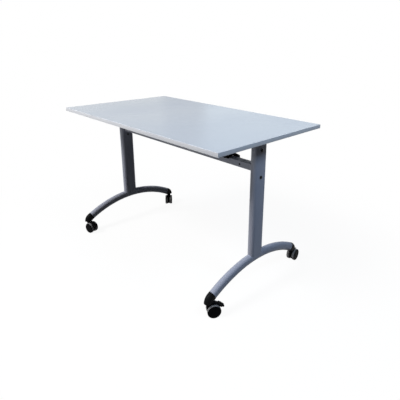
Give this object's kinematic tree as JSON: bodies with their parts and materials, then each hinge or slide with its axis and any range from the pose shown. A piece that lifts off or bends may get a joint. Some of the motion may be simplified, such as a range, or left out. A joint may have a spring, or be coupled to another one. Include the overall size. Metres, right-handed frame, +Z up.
{
  "type": "flip top training table",
  "caption": "Rectangular training table whose top tips upright about a hinge line on T-legs with arched feet, swivel casters, a cross beam and a sprung release lever.",
  "frame": {"origin": "on the floor, under the middle of the top", "axes": "+X along the long side towards the end with the release lever, -Y towards the front edge that drops when the top is tipped, +Z up"},
  "size_m": [1.2, 0.684, 0.745],
  "materials": {
    "top_laminate": "pale cool white melamine, fine satin texture",
    "edge_band": "pale grey plastic edging, satin",
    "frame_paint": "silver grey powder coat, fine texture",
    "black_plastic": "black moulded nylon, satin",
    "tread": "dark grey soft tread",
    "zinc_steel": "bright zinc plate",
    "black_steel": "black coated steel",
    "nylon": "natural nylon"
  },
  "bodies": {
    "frame": {"column_left": "frame_paint", "column_right": "frame_paint", "foot_left": "frame_paint", "foot_right": "frame_paint", "foot_cap_front_left": "black_plastic", "foot_cap_front_right": "black_plastic", "foot_cap_rear_left": "black_plastic", "foot_cap_rear_right": "black_plastic", "cross_beam": "frame_paint", "beam_bracket_left": "frame_paint", "beam_bracket_right": "frame_paint", "beam_screw_left": "black_steel", "beam_screw_right": "black_steel", "pivot_bolt_left": "black_steel", "pivot_bolt_right": "black_steel", "pivot_nut_left": "zinc_steel", "pivot_nut_right": "zinc_steel", "pivot_bush_left": "nylon", "pivot_bush_right": "nylon", "frame_bolt_left": "black_steel", "frame_bolt_right": "black_steel", "rod_bearing_left": "black_plastic", "rod_bearing_right": "black_plastic", "caster_stem_front_left": "zinc_steel", "caster_stem_front_right": "zinc_steel", "caster_stem_rear_left": "zinc_steel", "caster_stem_rear_right": "zinc_steel"},
    "top": {"top_board": "top_laminate", "edge_band_front": "edge_band", "edge_band_rear": "edge_band", "edge_band_left": "edge_band", "edge_band_right": "edge_band", "hinge_bracket_left": "black_steel", "hinge_bracket_right": "black_steel", "strike_pin_left": "zinc_steel", "strike_pin_right": "zinc_steel"},
    "release_bar": {"release_rod": "black_steel", "release_lever": "black_plastic", "return_spring": "zinc_steel", "latch_hook_left": "zinc_steel", "latch_hook_right": "zinc_steel"},
    "caster_front_left": {"caster_hood_front_left": "black_plastic", "caster_axle_front_left": "zinc_steel"},
    "caster_front_right": {"caster_hood_front_right": "black_plastic", "caster_axle_front_right": "zinc_steel"},
    "caster_rear_left": {"caster_hood_rear_left": "black_plastic", "caster_axle_rear_left": "zinc_steel"},
    "caster_rear_right": {"caster_hood_rear_right": "black_plastic", "caster_axle_rear_right": "zinc_steel"},
    "wheel_a_front_left": {"caster_wheel_a_front_left": "tread"},
    "wheel_b_front_left": {"caster_wheel_b_front_left": "tread"},
    "wheel_a_front_right": {"caster_wheel_a_front_right": "tread"},
    "wheel_b_front_right": {"caster_wheel_b_front_right": "tread"},
    "wheel_a_rear_left": {"caster_wheel_a_rear_left": "tread"},
    "wheel_b_rear_left": {"caster_wheel_b_rear_left": "tread"},
    "wheel_a_rear_right": {"caster_wheel_a_rear_right": "tread"},
    "wheel_b_rear_right": {"caster_wheel_b_rear_right": "tread"},
    "brake_front_left": {"brake_pedal_front_left": "black_plastic"},
    "brake_front_right": {"brake_pedal_front_right": "black_plastic"}
  },
  "joints": [
    {"name": "top_flip", "type": "hinge", "parent": "frame", "child": "top", "pos_m": [0, -0.018, 0.676], "axis": [1, 0, 0], "range_deg": [0, 90]},
    {"name": "release_turn", "type": "hinge", "parent": "frame", "child": "release_bar", "pos_m": [0, 0.018, 0.585], "axis": [1, 0, 0], "range_deg": [-8, 7], "stiffness_Nm_per_rad": 1.5, "springref_deg": 6.99},
    {"name": "swivel_front_left", "type": "hinge", "parent": "frame", "child": "caster_front_left", "pos_m": [-0.523, -0.31093, 0.06], "axis": [0, 0, 1], "continuous": true},
    {"name": "swivel_front_right", "type": "hinge", "parent": "frame", "child": "caster_front_right", "pos_m": [0.523, -0.31093, 0.06], "axis": [0, 0, 1], "continuous": true},
    {"name": "swivel_rear_left", "type": "hinge", "parent": "frame", "child": "caster_rear_left", "pos_m": [-0.523, 0.29093, 0.06], "axis": [0, 0, 1], "continuous": true},
    {"name": "swivel_rear_right", "type": "hinge", "parent": "frame", "child": "caster_rear_right", "pos_m": [0.523, 0.29093, 0.06], "axis": [0, 0, 1], "continuous": true},
    {"name": "spin_a_front_left", "type": "hinge", "parent": "caster_front_left", "child": "wheel_a_front_left", "pos_m": [-0.50246, -0.30657, 0.03], "axis": [-0.2079, 0.9781, 0], "continuous": true},
    {"name": "spin_b_front_left", "type": "hinge", "parent": "caster_front_left", "child": "wheel_b_front_left", "pos_m": [-0.50246, -0.30657, 0.03], "axis": [-0.2079, 0.9781, 0], "continuous": true},
    {"name": "spin_a_front_right", "type": "hinge", "parent": "caster_front_right", "child": "wheel_a_front_right", "pos_m": [0.53413, -0.29312, 0.03], "axis": [-0.848, 0.5299, 0], "continuous": true},
    {"name": "spin_b_front_right", "type": "hinge", "parent": "caster_front_right", "child": "wheel_b_front_right", "pos_m": [0.53413, -0.29312, 0.03], "axis": [-0.848, 0.5299, 0], "continuous": true},
    {"name": "spin_a_rear_left", "type": "hinge", "parent": "caster_rear_left", "child": "wheel_a_rear_left", "pos_m": [-0.50691, 0.27743, 0.03], "axis": [0.6428, 0.766, 0], "continuous": true},
    {"name": "spin_b_rear_left", "type": "hinge", "parent": "caster_rear_left", "child": "wheel_b_rear_left", "pos_m": [-0.50691, 0.27743, 0.03], "axis": [0.6428, 0.766, 0], "continuous": true},
    {"name": "spin_a_rear_right", "type": "hinge", "parent": "caster_rear_right", "child": "wheel_a_rear_right", "pos_m": [0.52008, 0.31173, 0.03], "axis": [-0.9903, -0.1392, 0], "continuous": true},
    {"name": "spin_b_rear_right", "type": "hinge", "parent": "caster_rear_right", "child": "wheel_b_rear_right", "pos_m": [0.52008, 0.31173, 0.03], "axis": [-0.9903, -0.1392, 0], "continuous": true},
    {"name": "brake_press_front_left", "type": "hinge", "parent": "caster_front_left", "child": "brake_front_left", "pos_m": [-0.47936, -0.30166, 0.05446], "axis": [-0.2079, 0.9781, 0], "range_deg": [0, 18]},
    {"name": "brake_press_front_right", "type": "hinge", "parent": "caster_front_right", "child": "brake_front_right", "pos_m": [0.54664, -0.27309, 0.05446], "axis": [-0.848, 0.5299, 0], "range_deg": [0, 18]}
  ]
}
